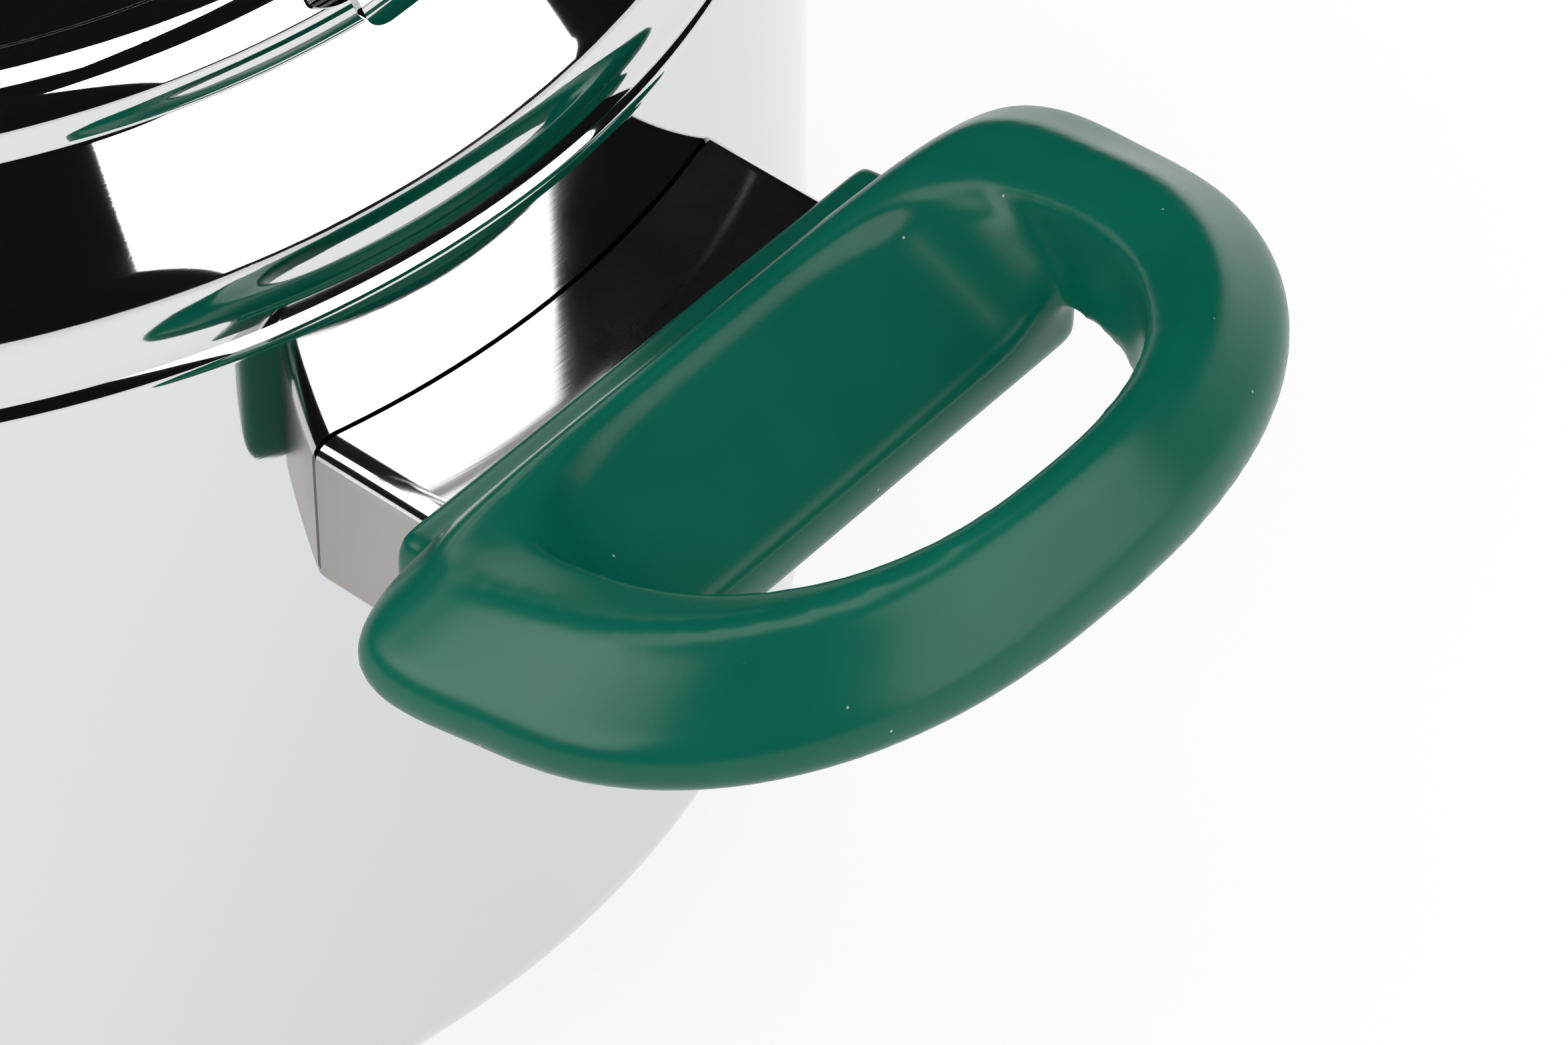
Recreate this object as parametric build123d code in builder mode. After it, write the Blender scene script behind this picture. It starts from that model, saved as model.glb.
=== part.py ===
"""Stovetop pressure cooker with a bayonet lid, two long handles and a looped helper handle.

Millimetres, +Z up. The origin is the centre of the underside of the pot. The helper handle points along +X,
the long pot handle along -X. The lid lies on the pot as it is put on, before it is turned to lock.
"""
import os
from math import cos, hypot, radians, sin, tan

from build123d import *

# Pot shell and base
pot_radius = 112.0
rim_height = 130.0
sheet = 1.0
neck_height = 4.8
neck_inset = 7.5
neck_round = 1.0
ledge_round = 3.2
base_round = 6.5
base_cap_inset = 5.6
base_cap_height = 4.6
base_sheet = 0.8
base_edge_round = 0.7
core_gap = 0.1

# Bayonet
lug_count = 6
lug_angle = 26.0
lug_thickness = 1.5
pot_lug_reach = 4.5
lug_clearance = 0.6
lug_root = 0.3
lock_turn = 30.0

# Lid shell
skirt_lap = 0.45
skirt_tuck = 15.0
skirt_edge = 0.3
roll_radius = 12.0
shoulder_lean = 40.0
shoulder_run = 11.6
step_foot_round = 1.2
step_rise = 7.65
plateau_round = 6.5
plateau_width = 7.7
panel_run = 1.7
panel_drop = 1.5
panel_round = 1.2

# Gasket
gasket_gap = 1.4
gasket_wall = 1.5
gasket_width = 6.8
gasket_side = 2.4
gasket_height = 8.0
gasket_slope_run = 4.2

# Locating tab
tab_half_width = 16.5
tab_thickness = 1.3
tab_length = 14.0
tab_stand_off = 2.2
tab_drop = 6.2
tab_bend = 2.6
tab_corner = 4.0

# Handle brackets
bracket_wall = 1.5
weld_gap = 0.05
helper_bracket_reach = 11.5
helper_bracket_half_width = 31.0
helper_bracket_drop = 18.4
helper_bracket_height = 20.6
bracket_round = 2.8
pot_bracket_reach = 12.0
pot_bracket_half_width = 17.5
pot_bracket_drop = 11.2
pot_bracket_height = 18.0

# Handle screws
screw_radius = 2.5
screw_clearance = 0.05
screw_head_radius = 4.5
screw_head_height = 3.0
helper_screw_length = 10.0
pot_screw_length = 40.0

# Helper handle
helper_base_half_length = 36.8
helper_base_depth = 9.0
helper_base_lift = 2.8
helper_base_rise = 1.6
helper_base_round = 3.0
loop_start = 22.5
loop_points = 6
bow_fullness = 2.3
loop_back_fullness = 6.0
rim_back_fullness = 3.4
loop_half_width = 53.4
loop_front = 41.6
loop_back = 18.2
loop_rise = 4.0
loop_tilt = 6.8
loop_depth = 5.2
loop_bottom_round = 2.6
loop_edge_round = 4.0
crest_half_width = 43.0
crest_front = 35.8
crest_back = 14.8
crest_rise = 6.9
crest_tilt = 13.5
crest_round = 4.0
band_inset = 1.5
band_drop = 1.2
well_half_width = 34.3
well_front = 31.6
well_back = 12.5
well_draft = 5.5
well_depth = 30.0
floor_drop = 4.4
lip_reach = 29.2
lip_drop = 2.4
lip_thickness = 5.6
cove_radius = 12.0
cove_height = 10.0
rest_lap = 0.5
rest_wall = 1.5
lip_round = 2.4

# Long handles
handle_half_width = 17.0
handle_waist = 14.0
handle_root_length = 22.0
handle_length = 170.0
pot_handle_rise = 2.0
pot_handle_root_height = 22.0
pot_handle_waist_height = 16.0
pot_handle_end_height = 20.0
handle_round = 4.5
handle_gap = 2.5

# Lid handle
lid_handle_inset = 48.0
lid_handle_start_half_width = 14.0
lid_handle_start_round = 8.0
lid_handle_float = 0.5
lid_handle_crown = 14.5
lid_handle_crown_inset = 12.0
lid_handle_height = 29.5
lid_handle_end_height = 19.0
lid_handle_flat_reach = 25.0
lid_handle_flat_length = 53.0
lid_handle_bend = 30.0
step_drop = 6.0
skirt_clearance = 2.5
step_clearance = 2.1
lid_bracket_setback = 2.0
lid_bracket_reach = 6.0
lid_bracket_half_width = 11.0
lid_bracket_thickness = 3.0
pocket_gap = 0.1
lid_screw_setbacks = (7.0, 16.0)
lid_screw_radius = 2.0
lid_screw_length = 9.0
lid_screw_head_radius = 3.6
lid_screw_head_height = 1.1

# Lock
catch_setback = 4.0
catch_length = 8.0
catch_half_width = 6.0
catch_height = 14.0
catch_round = 1.5
catch_passage_inside = 4.0
catch_passage_outside = 2.0
catch_headroom = 1.5
bolt_rise = 9.0
bolt_radius = 3.0
bolt_fit = 0.05
bolt_hole_play = 0.4
bolt_travel = 8.0
bolt_setback = 0.5
pocket_front_wall = 4.0
pocket_length = 42.0
pocket_half_width = 8.0
pocket_rise = 9.0
cover_thickness = 2.5
cover_margin = 3.0
cover_lap = 1.5
cover_tail = 14.0
carriage_offset = 16.0
carriage_length = 12.0
carriage_half_width = 6.0
carriage_half_height = 3.8
spring_play = 0.2
lock_spring_wire = 0.7
stem_length = 6.0
stem_half_width = 3.6
slot_play = 0.4
slider_length = 18.0
slider_half_width = 8.0
slider_height = 4.0
slider_gap = 0.2
slider_round = 1.4
cover_screw_radius = 1.5
cover_screw_length = 9.0
cover_screw_head_radius = 2.8
cover_screw_head_height = 1.4
cover_screw_spread = 12.0

# Lid fittings: pressure valve, vent and safety valve
fit_gap = 0.1
fitting_seal_thickness = 2.0
fitting_nut_thickness = 4.0
valve_spacing = 28.0
valve_shank_radius = 7.0
valve_flange_radius = 11.0
valve_flange_height = 2.0
valve_tower_height = 13.0
valve_chamber_radius = 5.4
valve_chamber_depth = 8.5
valve_bore_radius = 3.2
valve_head_radius = 5.0
valve_head_height = 2.0
valve_rod_radius = 2.4
valve_rod_length = 21.0
valve_cap_height = 2.5
valve_spring_radius = 4.6
valve_spring_wire = 0.8
dial_radius = 18.0
dial_height = 22.0
dial_roof = 5.5
dial_play = 0.6
dial_flutes = 12
dial_flute_radius = 3.0
dial_round = 2.0
pointer_length = 6.0
pointer_width = 1.6
pointer_depth = 0.8
rod_play = 0.3
vent_setback = 10.0
vent_shank_radius = 4.6
vent_flange_radius = 6.5
vent_flange_height = 1.6
vent_bore_radius = 2.6
vent_pin_radius = 2.3
vent_pin_show = 1.4
vent_head_radius = 3.8
vent_head_height = 2.0
vent_head_gap = 0.3
vent_rim_height = 0.6
vent_lift = 5.0
safety_position = -42.0
safety_shank_radius = 5.5
safety_flange_radius = 8.0
safety_flange_height = 1.8
safety_tower_height = 9.5
safety_chamber_radius = 4.4
safety_chamber_depth = 7.0
safety_bore_radius = 2.4
safety_head_radius = 4.0
safety_head_height = 1.6
safety_rod_radius = 1.5
safety_rod_length = 10.5
safety_cap_height = 2.0
safety_spring_radius = 3.6
safety_spring_wire = 0.6

# Places that follow from the sizes above
helper_angle = 0.0
pot_handle_angle = 180.0
lid_handle_angle = pot_handle_angle + lock_turn
lug_pitch = 360.0 / lug_count
ledge_top = rim_height - neck_height
neck_radius = pot_radius - neck_inset
base_cap_radius = pot_radius - base_cap_inset
skirt_inner_radius = pot_radius - sheet
lid_lug_bottom = ledge_top + lug_clearance
pot_lug_bottom = lid_lug_bottom + lug_thickness + lug_clearance
helper_bracket_top = ledge_top - helper_bracket_drop
helper_bracket_bottom = helper_bracket_top - helper_bracket_height
pot_bracket_top = ledge_top - pot_bracket_drop
pot_bracket_bottom = pot_bracket_top - pot_bracket_height
helper_inner = pot_radius + helper_bracket_reach
pot_handle_inner = pot_radius + pot_bracket_reach
pot_handle_top = pot_bracket_top + pot_handle_rise
handle_end = pot_handle_inner + handle_length
lid_handle_bottom = pot_handle_top + handle_gap
lid_handle_start = pot_radius - lid_handle_inset
catch_start = pot_handle_inner + catch_setback
bolt_height = pot_handle_top + bolt_rise
vent_position = lid_handle_start - vent_setback
valve_position = vent_position - valve_spacing


def side_plane(angle):
    """Upright plane through the pot axis: x runs outwards at that angle, y runs up."""
    turn = radians(angle)
    return Plane(origin=(0, 0, 0), x_dir=(cos(turn), sin(turn), 0), z_dir=(sin(turn), -cos(turn), 0))


def top_plane(angle, height):
    """Level plane at a height, with x running outwards at that angle."""
    turn = radians(angle)
    return Plane(origin=(0, 0, height), x_dir=(cos(turn), sin(turn), 0), z_dir=(0, 0, 1))


def cross_plane(angle, distance, height):
    """Plane square to the outward direction; its normal points outwards, its y runs up."""
    turn = radians(angle)
    out = Vector(cos(turn), sin(turn), 0)
    return Plane(origin=out * distance + Vector(0, 0, height), x_dir=(-sin(turn), cos(turn), 0), z_dir=out)


def save(piece, name):
    """Label a finished piece and write it."""
    piece.part.label = name
    export_step(piece.part, f"parts/{name}.step")


def beyond(edges, reach):
    """Edges whose middle lies further than that from the pot axis."""
    return [edge for edge in edges if hypot(edge.center().X, edge.center().Y) > reach]


def border(faces):
    """Edges round the outside of a group of neighbouring faces."""
    edges = faces.edges()
    return [edge for edge in edges if sum(edge.is_same(other) for other in edges) == 1]


def lug_ring(outer, inner, first_angle):
    """Draw the bayonet lugs of one ring: equal sectors, the first one centred on an angle."""
    half_gap = radians((lug_pitch - lug_angle) / 2)
    far = 2 * outer
    Circle(outer)
    Circle(inner, mode=Mode.SUBTRACT)
    with PolarLocations(0, lug_count, start_angle=first_angle + lug_pitch / 2):
        spread = far * tan(half_gap)
        Polygon((0, 0), (far, -spread), (far, spread), align=None, mode=Mode.SUBTRACT)


def handle_outline(start, start_half_width):
    """Draw the plan outline that both long handles share from the root outwards."""
    root_end = pot_handle_inner + handle_root_length
    grip_end = handle_end - handle_half_width
    waist = (root_end + grip_end) / 2
    with BuildLine() as outline:
        for side in (-1, 1):
            Spline(
                (start, side * start_half_width),
                (root_end, side * handle_half_width),
                (waist, side * handle_waist),
                (grip_end, side * handle_half_width),
                tangents=((1, 0), (1, 0)),
            )
        ThreePointArc((grip_end, -handle_half_width), (handle_end, 0), (grip_end, handle_half_width))
        Line((start, start_half_width), (start, -start_half_width))
    make_face(outline.edges())


os.makedirs("parts", exist_ok=True)

# Pot shell: floor, wall, inward ledge and short neck in one sheet, with the outward lugs on its rim
with BuildPart() as pot_body:
    with BuildSketch(Plane.XZ):
        with BuildLine():
            FilletPolyline(
                (0, base_cap_height),
                (pot_radius, base_cap_height),
                (pot_radius, ledge_top),
                (neck_radius, ledge_top),
                (neck_radius, rim_height),
                radius=(base_round, ledge_round, neck_round),
            )
            offset(amount=sheet, side=Side.LEFT)
        make_face()
    revolve(axis=Axis.Z)
    with BuildSketch(Plane.XY.offset(pot_lug_bottom)):
        lug_ring(neck_radius + pot_lug_reach, neck_radius - lug_root, 0)
    extrude(amount=rim_height - pot_lug_bottom)
save(pot_body, "pot_body")

# Steel capsule under the pot, holding the heat-spreading core
with BuildPart() as base_cap:
    with BuildSketch(Plane.XZ):
        with BuildLine():
            FilletPolyline(
                (0, 0),
                (base_cap_radius, 0),
                (base_cap_radius, base_cap_height),
                radius=base_sheet + base_edge_round,
            )
            offset(amount=base_sheet, side=Side.LEFT)
        make_face()
    revolve(axis=Axis.Z)
save(base_cap, "base_cap")

# Aluminium core between the capsule and the floor of the pot
with BuildPart() as base_core:
    with BuildSketch(Plane.XY.offset(base_sheet)):
        Circle(base_cap_radius - base_sheet - core_gap)
    extrude(amount=base_cap_height - base_sheet)
    fillet(base_core.edges().group_by(Axis.Z)[0], base_edge_round + core_gap)
save(base_core, "base_core")


def bracket(angle, reach, half_width, bottom, top):
    """Pressed steel box on the wall: open towards the pot, with a screw hole in its end plate."""
    end = pot_radius + reach
    middle = (bottom + top) / 2
    with BuildPart() as piece:
        with BuildSketch(cross_plane(angle, end, middle)):
            RectangleRounded(2 * half_width, top - bottom, bracket_round)
        extrude(amount=-end)
        with BuildSketch(cross_plane(angle, end - bracket_wall, middle)):
            RectangleRounded(
                2 * (half_width - bracket_wall), top - bottom - 2 * bracket_wall, bracket_wall / 4
            )
        extrude(amount=-end, mode=Mode.SUBTRACT)
        with BuildSketch(Plane.XY):
            Circle(pot_radius + weld_gap)
        extrude(amount=2 * top, mode=Mode.SUBTRACT)
        with BuildSketch(cross_plane(angle, end, middle)):
            Circle(screw_radius + screw_clearance)
        extrude(amount=-2 * bracket_wall, mode=Mode.SUBTRACT)
    return piece


def bracket_screw(angle, reach, bottom, top, length):
    """Screw whose head bears inside a bracket's end plate and whose shank runs out into the handle."""
    seat = pot_radius + reach - bracket_wall
    middle = (bottom + top) / 2
    with BuildPart() as piece:
        with BuildSketch(cross_plane(angle, seat, middle)):
            Circle(screw_head_radius)
        extrude(amount=-screw_head_height)
        with BuildSketch(cross_plane(angle, seat, middle)):
            Circle(screw_radius)
        extrude(amount=bracket_wall + length)
    return piece


helper_middle = (helper_bracket_bottom + helper_bracket_top) / 2
pot_bracket_middle = (pot_bracket_bottom + pot_bracket_top) / 2

helper_bracket = bracket(
    helper_angle, helper_bracket_reach, helper_bracket_half_width, helper_bracket_bottom, helper_bracket_top
)
save(helper_bracket, "helper_bracket")

helper_screw = bracket_screw(
    helper_angle, helper_bracket_reach, helper_bracket_bottom, helper_bracket_top, helper_screw_length
)
save(helper_screw, "helper_screw")

pot_bracket = bracket(
    pot_handle_angle, pot_bracket_reach, pot_bracket_half_width, pot_bracket_bottom, pot_bracket_top
)
save(pot_bracket, "pot_bracket")

pot_handle_screw = bracket_screw(
    pot_handle_angle, pot_bracket_reach, pot_bracket_bottom, pot_bracket_top, pot_screw_length
)
save(pot_handle_screw, "pot_handle_screw")


# Helper handle: a straight base and a loop that rises outwards round a thumb rest and a finger hole
helper_base_bottom = helper_bracket_bottom + helper_base_lift
helper_base_top = helper_bracket_top + helper_base_rise
helper_base_height = helper_base_top - helper_base_bottom
loop_centre = helper_inner + loop_start
loop_height = helper_base_top + loop_rise
crest_height = loop_height + crest_rise
floor_back_height = crest_height - floor_drop
well_back_reach = loop_centre - well_back
lip_end = helper_inner + lip_reach
lip_height = helper_base_top - lip_drop


def tilted_plane(height, tilt):
    """Plane through the widest place of the loop that rises outwards."""
    turn = radians(tilt)
    return Plane(
        origin=(loop_centre, 0, height), x_dir=(cos(turn), 0, sin(turn)), z_dir=(-sin(turn), 0, cos(turn))
    )


def loop_outline(half_width, front, back, back_fullness):
    """Draw a closed outline of the loop: a full bow in front and a squarer back."""
    points = []
    for step in range(4 * loop_points):
        turn = radians(90 * step / loop_points)
        reach, fullness = (front, bow_fullness) if cos(turn) > 0 else (-back, back_fullness)
        side = half_width if sin(turn) > 0 else -half_width
        points.append((reach * abs(cos(turn)) ** (2 / fullness), side * abs(sin(turn)) ** (2 / fullness)))
    with BuildLine() as outline:
        Spline(*points, periodic=True)
    make_face(outline.edges())


def loop_plane_distance(edge):
    """How far the middle of an edge lies from the plane of the loop."""
    return abs(loop_plane.to_local_coords(edge @ 0.5).Z)


loop_plane = tilted_plane(loop_height, loop_tilt)
crest_plane = tilted_plane(crest_height, crest_tilt)
rim_plane = crest_plane.offset(-band_drop)

# Tool body of the band that falls from the crest of the loop to the rim of the well
with BuildPart() as band:
    with BuildSketch(rim_plane):
        loop_outline(well_half_width, well_front, well_back, rim_back_fullness)
    with BuildSketch(crest_plane):
        loop_outline(
            crest_half_width - band_inset,
            crest_front - band_inset,
            crest_back - band_inset,
            loop_back_fullness,
        )
    loft()

# Tool body of the well inside the loop
with BuildPart() as well:
    with BuildSketch(rim_plane.offset(-well_depth)):
        loop_outline(
            well_half_width - well_draft, well_front - well_draft, well_back - well_draft, rim_back_fullness
        )
    with BuildSketch(rim_plane):
        loop_outline(well_half_width, well_front, well_back, rim_back_fullness)
    loft()

# Tool body of the thumb rest: a sloping floor with coved sides and a rounded lip over the finger hole
floor_fall = Vector(lip_end - well_back_reach, 0, lip_height - floor_back_height)
floor_plane = Plane(origin=(lip_end, 0, lip_height), x_dir=(0, 1, 0), z_dir=floor_fall)
rest_half_width = well_half_width + rest_lap
with BuildPart() as thumb_rest:
    with BuildSketch(Plane.XZ):
        Polygon(
            (helper_inner, helper_base_bottom),
            (helper_inner, helper_base_top),
            (well_back_reach, helper_base_top),
            (well_back_reach, floor_back_height),
            (lip_end, lip_height + cove_height),
            (lip_end, lip_height - lip_thickness),
            align=None,
        )
    extrude(amount=rest_half_width + rest_wall, both=True)
    with BuildSketch(floor_plane):
        RectangleRounded(2 * rest_half_width, 4 * cove_radius, cove_radius, align=(Align.CENTER, Align.MIN))
    extrude(amount=2 * lip_reach, both=True, mode=Mode.SUBTRACT)
    end_edges = thumb_rest.faces().sort_by(Axis.X)[-1].edges()
    fillet([edge for edge in end_edges if abs((edge @ 0.5).Y) < rest_half_width], lip_round)

with BuildPart() as helper_handle:
    with BuildSketch(loop_plane):
        loop_outline(loop_half_width, loop_front, loop_back, loop_back_fullness)
    extrude(amount=-loop_depth)
    with BuildSketch(loop_plane):
        loop_outline(loop_half_width, loop_front, loop_back, loop_back_fullness)
    with BuildSketch(crest_plane):
        loop_outline(crest_half_width, crest_front, crest_back, loop_back_fullness)
    loft()
    level_faces = helper_handle.faces().filter_by(GeomType.PLANE).sort_by(Axis.Z)
    fillet(level_faces[0].edges(), loop_bottom_round)
    level_faces = helper_handle.faces().filter_by(GeomType.PLANE).sort_by(Axis.Z)
    fillet(level_faces[-1].edges(), crest_round)
    fillet(helper_handle.edges().sort_by(loop_plane_distance)[0], loop_edge_round)
    add(band.part, mode=Mode.SUBTRACT)
    add(well.part, mode=Mode.SUBTRACT)
    add(thumb_rest.part)
    with BuildSketch(cross_plane(helper_angle, helper_inner, helper_base_bottom + helper_base_height / 2)):
        RectangleRounded(2 * helper_base_half_length, helper_base_height, helper_base_round)
    extrude(amount=helper_base_depth)
    with BuildSketch(cross_plane(helper_angle, helper_inner, helper_middle)):
        Circle(screw_radius + screw_clearance)
    extrude(amount=helper_screw_length + screw_clearance, mode=Mode.SUBTRACT)
save(helper_handle, "helper_handle")

# Long pot handle: waisted grip, deeper at its root and its end
with BuildPart() as pot_handle:
    root_end = pot_handle_inner + handle_root_length
    waist = (root_end + handle_end - handle_half_width) / 2
    with BuildSketch(side_plane(pot_handle_angle)):
        with BuildLine():
            Polyline(
                (handle_end, pot_handle_top - pot_handle_end_height),
                (handle_end, pot_handle_top),
                (pot_handle_inner, pot_handle_top),
                (pot_handle_inner, pot_handle_top - pot_handle_root_height),
                (root_end, pot_handle_top - pot_handle_root_height),
            )
            ThreePointArc(
                (root_end, pot_handle_top - pot_handle_root_height),
                (waist, pot_handle_top - pot_handle_waist_height),
                (handle_end, pot_handle_top - pot_handle_end_height),
            )
        make_face()
    extrude(amount=2 * handle_half_width, both=True)
    with BuildSketch(top_plane(pot_handle_angle, pot_handle_top - 2 * pot_handle_root_height)):
        handle_outline(pot_handle_inner, handle_half_width)
    extrude(amount=3 * pot_handle_root_height, mode=Mode.INTERSECT)
    level_edges = pot_handle.edges().filter_by(Axis.Z, reverse=True)
    fillet(beyond(level_edges, pot_handle_inner + handle_round), handle_round)
    with BuildSketch(cross_plane(pot_handle_angle, pot_handle_inner, pot_bracket_middle)):
        Circle(screw_radius + screw_clearance)
    extrude(amount=pot_screw_length + screw_clearance, mode=Mode.SUBTRACT)
save(pot_handle, "pot_handle")

# Steel catch on the pot handle that takes the lock bolt
with BuildPart() as lock_catch:
    with BuildSketch(side_plane(pot_handle_angle)):
        with Locations((catch_start, pot_handle_top)):
            Rectangle(catch_length, catch_height, align=(Align.MIN, Align.MIN))
    extrude(amount=catch_half_width, both=True)
    fillet(lock_catch.edges().group_by(Axis.Z)[-1], catch_round)
    with BuildSketch(cross_plane(pot_handle_angle, catch_start, bolt_height)):
        Circle(bolt_radius + bolt_hole_play)
    extrude(amount=catch_length, mode=Mode.SUBTRACT)
save(lock_catch, "lock_catch")


# Lid shell: rolled skirt, leaning shoulder, rounded step and sunk panel in one sheet, with the inward lugs
tuck = radians(skirt_tuck)
lean = radians(shoulder_lean)
roll_centre = pot_radius - roll_radius
skirt_bottom = ledge_top - skirt_lap
roll_height = skirt_bottom + skirt_edge + roll_radius * sin(tuck)
roll_corner = roll_radius / cos((tuck + lean) / 2)
roll_corner_radius = roll_centre + roll_corner * cos((lean - tuck) / 2)
roll_corner_height = roll_height + roll_corner * sin((lean - tuck) / 2)
skirt_bottom_radius = roll_corner_radius - (roll_corner_height - skirt_bottom) * tan(tuck)
shoulder_start_height = roll_height + roll_radius * sin(lean)
step_radius = pot_radius - shoulder_run
step_foot_height = roll_corner_height + (roll_corner_radius - step_radius) / tan(lean)
plateau_height = step_foot_height + step_rise
plateau_inner_radius = step_radius - plateau_width
panel_radius = plateau_inner_radius - panel_run
panel_height = plateau_height - panel_drop
panel_underside = panel_height - sheet
lid_fittings = (
    (valve_position, valve_shank_radius),
    (vent_position, vent_shank_radius),
    (safety_position, safety_shank_radius),
)
with BuildPart() as lid_shell:
    with BuildSketch(Plane.XZ):
        with BuildLine():
            FilletPolyline(
                (skirt_bottom_radius, skirt_bottom),
                (roll_corner_radius, roll_corner_height),
                (step_radius, step_foot_height),
                (step_radius, plateau_height),
                (plateau_inner_radius, plateau_height),
                (panel_radius, panel_height),
                (0, panel_height),
                radius=(roll_radius, step_foot_round, plateau_round, panel_round, panel_round),
            )
            offset(amount=sheet, side=Side.LEFT)
        make_face()
    revolve(axis=Axis.Z)
    with BuildSketch(Plane.XY.offset(lid_lug_bottom)):
        lug_ring(skirt_inner_radius + lug_root, neck_radius + lug_clearance, lock_turn)
    extrude(amount=lug_thickness)
    for position, shank in lid_fittings:
        with BuildSketch(top_plane(lid_handle_angle, panel_height)):
            with Locations((position, 0)):
                Circle(shank + fit_gap)
        extrude(amount=-2 * sheet, mode=Mode.SUBTRACT)
save(lid_shell, "lid_shell")

# Silicone gasket: a ring of C section, open inwards, that lies on the rim of the pot
gasket_outer = skirt_inner_radius - gasket_gap
gasket_inner = gasket_outer - gasket_width
gasket_top = rim_height + gasket_height
with BuildPart() as gasket:
    with BuildSketch(Plane.XZ):
        Polygon(
            (gasket_inner, rim_height),
            (gasket_outer, rim_height),
            (gasket_outer, rim_height + gasket_side),
            (gasket_outer - gasket_slope_run, gasket_top),
            (gasket_inner, gasket_top),
            (gasket_inner, gasket_top - gasket_wall),
            (gasket_outer - gasket_slope_run - gasket_wall / 2, gasket_top - gasket_wall),
            (gasket_outer - gasket_wall, rim_height + gasket_side - gasket_wall / 2),
            (gasket_outer - gasket_wall, rim_height + gasket_wall),
            (gasket_inner, rim_height + gasket_wall),
            align=None,
        )
    revolve(axis=Axis.Z)
save(gasket, "gasket")

# Locating tab: a strip welded to the edge of the lid and bent down over its step, above the helper handle
tab_outer = step_radius + tab_stand_off + tab_thickness
tab_top = plateau_height + tab_thickness
with BuildPart() as locating_tab:
    with BuildSketch(side_plane(helper_angle)):
        with BuildLine():
            FilletPolyline(
                (tab_outer - tab_length, tab_top),
                (tab_outer, tab_top),
                (tab_outer, tab_top - tab_drop),
                radius=tab_bend + tab_thickness,
            )
            offset(amount=tab_thickness, side=Side.RIGHT)
        make_face()
    extrude(amount=tab_half_width, both=True)
    with BuildSketch(cross_plane(helper_angle, 0, tab_top - tab_drop)):
        RectangleRounded(
            2 * tab_half_width, 2 * tab_drop + 2 * tab_corner, tab_corner, align=(Align.CENTER, Align.MIN)
        )
    extrude(amount=2 * tab_outer, mode=Mode.INTERSECT)
save(locating_tab, "locating_tab")

# Places along the lid handle, measured outwards from the pot axis
lid_bracket_start = lid_handle_start + lid_bracket_setback
lid_bracket_end = pot_radius + lid_bracket_reach
lid_bracket_length = lid_bracket_end - lid_bracket_start
lid_screw_positions = [lid_handle_start + setback for setback in lid_screw_setbacks]
lid_handle_crown_end = pot_radius - lid_handle_crown_inset
lid_handle_flat_start = pot_radius + lid_handle_flat_reach
lid_handle_flat_end = lid_handle_flat_start + lid_handle_flat_length

# Lid handle bracket: a flat bar welded on the edge of the lid, screwed up into the handle
with BuildPart() as lid_bracket:
    with BuildSketch(top_plane(lid_handle_angle, plateau_height)):
        with Locations((lid_bracket_start, 0)):
            Rectangle(lid_bracket_length, 2 * lid_bracket_half_width, align=(Align.MIN, Align.CENTER))
        for position in lid_screw_positions:
            with Locations((position, 0)):
                Circle(lid_screw_radius + screw_clearance, mode=Mode.SUBTRACT)
    extrude(amount=lid_bracket_thickness)
save(lid_bracket, "lid_bracket")

with BuildPart() as lid_handle_screws:
    for position in lid_screw_positions:
        with BuildSketch(top_plane(lid_handle_angle, plateau_height - lid_screw_head_height)):
            with Locations((position, 0)):
                Circle(lid_screw_head_radius)
        extrude(amount=lid_screw_head_height)
        with BuildSketch(top_plane(lid_handle_angle, plateau_height)):
            with Locations((position, 0)):
                Circle(lid_screw_radius)
        extrude(amount=lid_screw_length)
save(lid_handle_screws, "lid_handle_screws")

# Places along the lock, measured outwards from the pot axis
passage_start = catch_start - catch_passage_inside
passage_end = catch_start + catch_length + catch_passage_outside
passage_top = pot_handle_top + catch_height + catch_headroom
pocket_start = passage_end + pocket_front_wall
pocket_end = pocket_start + pocket_length
cover_start = pocket_start - cover_lap
cover_end = pocket_end + cover_tail
cover_half_width = pocket_half_width + cover_margin
cover_screw_place = pocket_end + cover_tail / 2
cover_screw_places = (
    (cover_screw_place, -cover_screw_spread / 2),
    (cover_screw_place, cover_screw_spread / 2),
)
cover_top = lid_handle_bottom + cover_thickness
bolt_tip = passage_end + bolt_setback
carriage_start = pocket_start + carriage_offset
carriage_middle = carriage_start + carriage_length / 2
stem_start = carriage_middle - stem_length / 2
handle_top = lid_handle_bottom + lid_handle_height
pocket_top = bolt_height + pocket_rise

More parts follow.
